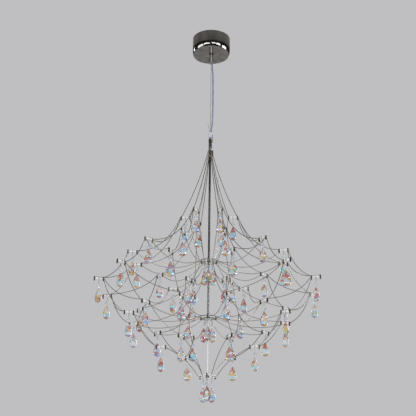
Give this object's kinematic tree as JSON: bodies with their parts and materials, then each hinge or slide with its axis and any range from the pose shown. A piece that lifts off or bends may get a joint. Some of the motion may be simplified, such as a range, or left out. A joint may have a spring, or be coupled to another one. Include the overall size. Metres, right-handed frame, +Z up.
{
  "type": "crystal chandelier",
  "caption": "Hanging low-voltage wire chandelier: polished canopy, cable and cord, bell-shaped cage of fine wires with small lamps and coated crystal drops.",
  "frame": {"origin": "centre of the canopy's mounting plane on the ceiling", "axes": "+Z up, the front is -Y"},
  "size_m": [0.7886, 0.7886, 1.4026],
  "materials": {
    "polished_chrome": "polished",
    "nickel_wire": "satin bright",
    "dark_nickel": "polished dark",
    "galvanised_steel": "plain zinc",
    "lamp_glass": "clear, frosted core",
    "crystal": "cut, rainbow coated",
    "clear_pvc": "clear bluish",
    "white_plastic": "smooth",
    "black_plastic": "moulded",
    "cable_steel": "stranded"
  },
  "bodies": {
    "canopy": {"ceiling_bracket": "galvanised_steel", "lamp_driver": "black_plastic", "canopy_drum": "polished_chrome", "threaded_stem": "galvanised_steel", "stem_nuts": "galvanised_steel", "cable_gripper": "polished_chrome", "gripper_screws": "polished_chrome"},
    "swivel": {"swivel_ball": "polished_chrome"},
    "crimp": {"cable_crimp": "cable_steel"},
    "fixture": {"suspension_cable": "cable_steel", "power_cord": "clear_pvc", "cable_sleeve": "white_plastic", "loose_leads": "cable_steel", "hub_barrel": "polished_chrome", "wire_ferrule": "polished_chrome", "feed_connector": "white_plastic", "feed_clamp": "black_plastic", "center_rod": "dark_nickel", "rod_foot": "polished_chrome", "middle_spider": "nickel_wire", "lower_spider": "nickel_wire", "bottom_spider": "nickel_wire", "hub_wires": "nickel_wire", "bell_wires": "nickel_wire", "outer_wires": "nickel_wire", "return_wires": "nickel_wire", "basket_wires": "nickel_wire", "middle_swags": "nickel_wire", "lower_swags": "nickel_wire", "inner_wires": "nickel_wire", "cross_wires": "nickel_wire", "lamps_crown": "lamp_glass", "lamps_shoulder": "lamp_glass", "lamps_widest": "lamp_glass", "lamps_inner": "lamp_glass", "lamps_lower": "lamp_glass", "lamps_basket": "lamp_glass", "lamp_posts_upper": "dark_nickel", "lamp_posts_lower": "dark_nickel", "crystals_crown": "crystal", "crystals_shoulder": "crystal", "crystals_inner": "crystal", "crystals_lower": "crystal", "crystals_basket": "crystal", "cluster_middle": "crystal", "cluster_low": "crystal", "cluster_finial": "crystal"},
    "pendant_01_swing": {"pendant_01": "crystal"},
    "pendant_02_swing": {"pendant_02": "crystal"},
    "pendant_03_swing": {"pendant_03": "crystal"},
    "pendant_04_swing": {"pendant_04": "crystal"},
    "pendant_05_swing": {"pendant_05": "crystal"},
    "pendant_06_swing": {"pendant_06": "crystal"},
    "pendant_07_swing": {"pendant_07": "crystal"},
    "pendant_08_swing": {"pendant_08": "crystal"},
    "pendant_09_swing": {"pendant_09": "crystal"},
    "pendant_10_swing": {"pendant_10": "crystal"},
    "pendant_11_swing": {"pendant_11": "crystal"},
    "pendant_12_swing": {"pendant_12": "crystal"}
  },
  "joints": [
    {"name": "sway_front_back", "type": "hinge", "parent": "canopy", "child": "swivel", "pos_m": [0, 0, -0.098], "axis": [1, 0, 0], "range_deg": [-8, 8]},
    {"name": "sway_sideways", "type": "hinge", "parent": "swivel", "child": "crimp", "pos_m": [0, 0, -0.098], "axis": [0, 1, 0], "range_deg": [-8, 8]},
    {"name": "twist", "type": "hinge", "parent": "crimp", "child": "fixture", "pos_m": [0, 0, -0.098], "axis": [0, 0, 1], "range_deg": [-45, 45]},
    {"name": "pendant_01_sway", "type": "hinge", "parent": "fixture", "child": "pendant_01_swing", "pos_m": [0.37629, 0.07656, -0.994], "axis": [0.9799, 0.1994, 0], "range_deg": [-25, 25]},
    {"name": "pendant_02_sway", "type": "hinge", "parent": "fixture", "child": "pendant_02_swing", "pos_m": [0.2876, 0.25445, -0.994], "axis": [0.749, 0.6626, 0], "range_deg": [-25, 25]},
    {"name": "pendant_03_sway", "type": "hinge", "parent": "fixture", "child": "pendant_03_swing", "pos_m": [0.12184, 0.36416, -0.994], "axis": [0.3173, 0.9483, 0], "range_deg": [-25, 25]},
    {"name": "pendant_04_sway", "type": "hinge", "parent": "fixture", "child": "pendant_04_swing", "pos_m": [-0.07656, 0.37629, -0.994], "axis": [-0.1994, 0.9799, 0], "range_deg": [-25, 25]},
    {"name": "pendant_05_sway", "type": "hinge", "parent": "fixture", "child": "pendant_05_swing", "pos_m": [-0.25445, 0.2876, -0.994], "axis": [-0.6626, 0.749, 0], "range_deg": [-25, 25]},
    {"name": "pendant_06_sway", "type": "hinge", "parent": "fixture", "child": "pendant_06_swing", "pos_m": [-0.36416, 0.12184, -0.994], "axis": [-0.9483, 0.3173, 0], "range_deg": [-25, 25]},
    {"name": "pendant_07_sway", "type": "hinge", "parent": "fixture", "child": "pendant_07_swing", "pos_m": [-0.37629, -0.07656, -0.994], "axis": [-0.9799, -0.1994, 0], "range_deg": [-25, 25]},
    {"name": "pendant_08_sway", "type": "hinge", "parent": "fixture", "child": "pendant_08_swing", "pos_m": [-0.2876, -0.25445, -0.994], "axis": [-0.749, -0.6626, 0], "range_deg": [-25, 25]},
    {"name": "pendant_09_sway", "type": "hinge", "parent": "fixture", "child": "pendant_09_swing", "pos_m": [-0.12184, -0.36416, -0.994], "axis": [-0.3173, -0.9483, 0], "range_deg": [-25, 25]},
    {"name": "pendant_10_sway", "type": "hinge", "parent": "fixture", "child": "pendant_10_swing", "pos_m": [0.07656, -0.37629, -0.994], "axis": [0.1994, -0.9799, 0], "range_deg": [-25, 25]},
    {"name": "pendant_11_sway", "type": "hinge", "parent": "fixture", "child": "pendant_11_swing", "pos_m": [0.25445, -0.2876, -0.994], "axis": [0.6626, -0.749, 0], "range_deg": [-25, 25]},
    {"name": "pendant_12_sway", "type": "hinge", "parent": "fixture", "child": "pendant_12_swing", "pos_m": [0.36416, -0.12184, -0.994], "axis": [0.9483, -0.3173, 0], "range_deg": [-25, 25]}
  ]
}
